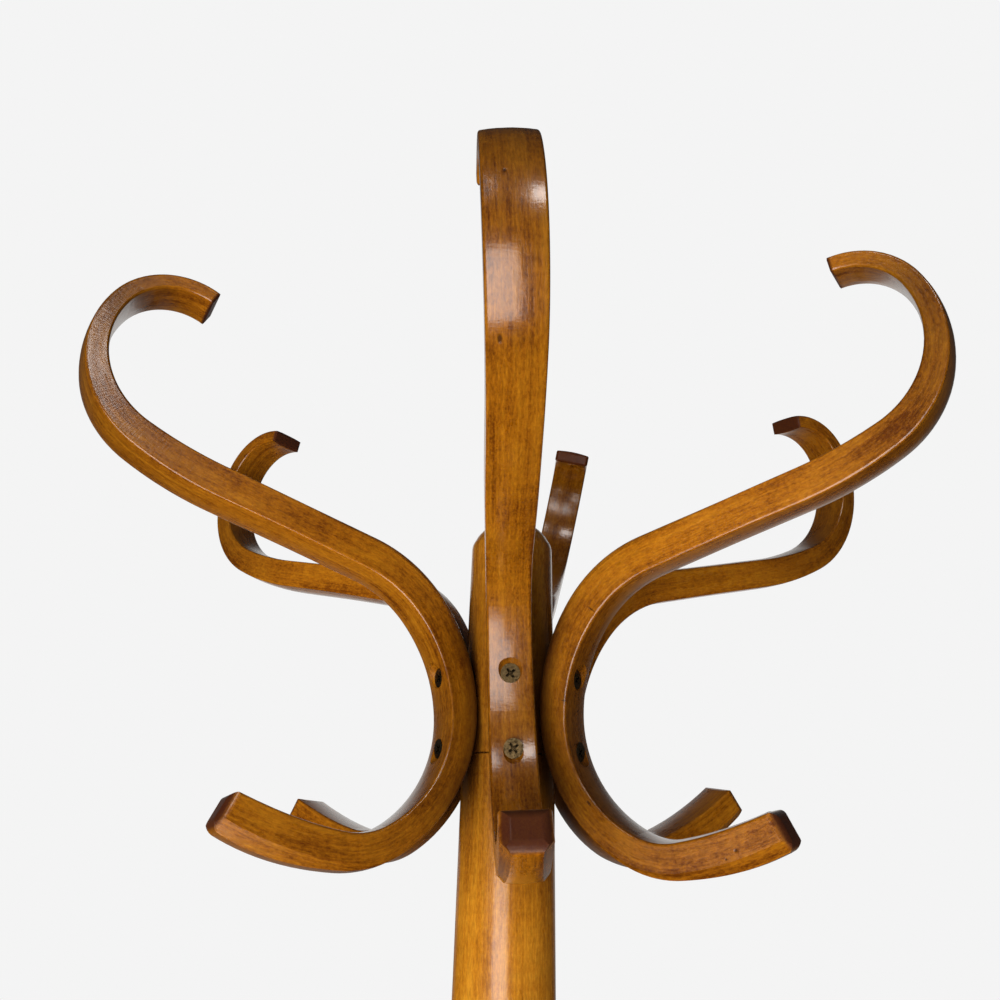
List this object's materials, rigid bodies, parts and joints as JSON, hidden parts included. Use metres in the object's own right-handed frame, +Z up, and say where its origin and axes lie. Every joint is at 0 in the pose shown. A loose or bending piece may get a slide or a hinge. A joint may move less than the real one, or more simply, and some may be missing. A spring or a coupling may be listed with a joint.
{
  "type": "standing coat rack",
  "caption": "Standing coat rack: a turned post with bentwood double hooks round its head, bent legs at its foot, an umbrella ring and round floor glides.",
  "frame": {"origin": "on the floor, on the post's axis, which is the middle of the base", "axes": "+Z up along the post; -Y is the front, towards the hook called hook_front; +X is the right-hand side seen from the front"},
  "size_m": [0.4712, 0.4712, 1.9122],
  "materials": {
    "lacquered_beech": "steam-bent beech stained honey amber under glossy lacquer",
    "antique_brass": "antique brass plated, darkened in the recesses",
    "dark_plastic": "moulded dark brown glide, satin",
    "nail_steel": "plain steel nail"
  },
  "bodies": {
    "root": {"post": "lacquered_beech", "umbrella_ring": "lacquered_beech", "hook_front": "lacquered_beech", "hook_front_right": "lacquered_beech", "hook_rear_right": "lacquered_beech", "hook_rear": "lacquered_beech", "hook_rear_left": "lacquered_beech", "hook_front_left": "lacquered_beech", "hook_front_screws": "antique_brass", "hook_front_right_screws": "antique_brass", "hook_rear_right_screws": "antique_brass", "hook_rear_screws": "antique_brass", "hook_rear_left_screws": "antique_brass", "hook_front_left_screws": "antique_brass", "leg_front_right": "lacquered_beech", "leg_rear_right": "lacquered_beech", "leg_rear_left": "lacquered_beech", "leg_front_left": "lacquered_beech", "leg_front_right_screws": "antique_brass", "leg_rear_right_screws": "antique_brass", "leg_rear_left_screws": "antique_brass", "leg_front_left_screws": "antique_brass", "ring_screws": "antique_brass", "glide_front_right": "dark_plastic", "glide_rear_right": "dark_plastic", "glide_rear_left": "dark_plastic", "glide_front_left": "dark_plastic", "glide_nails": "nail_steel"}
  },
  "joints": []
}
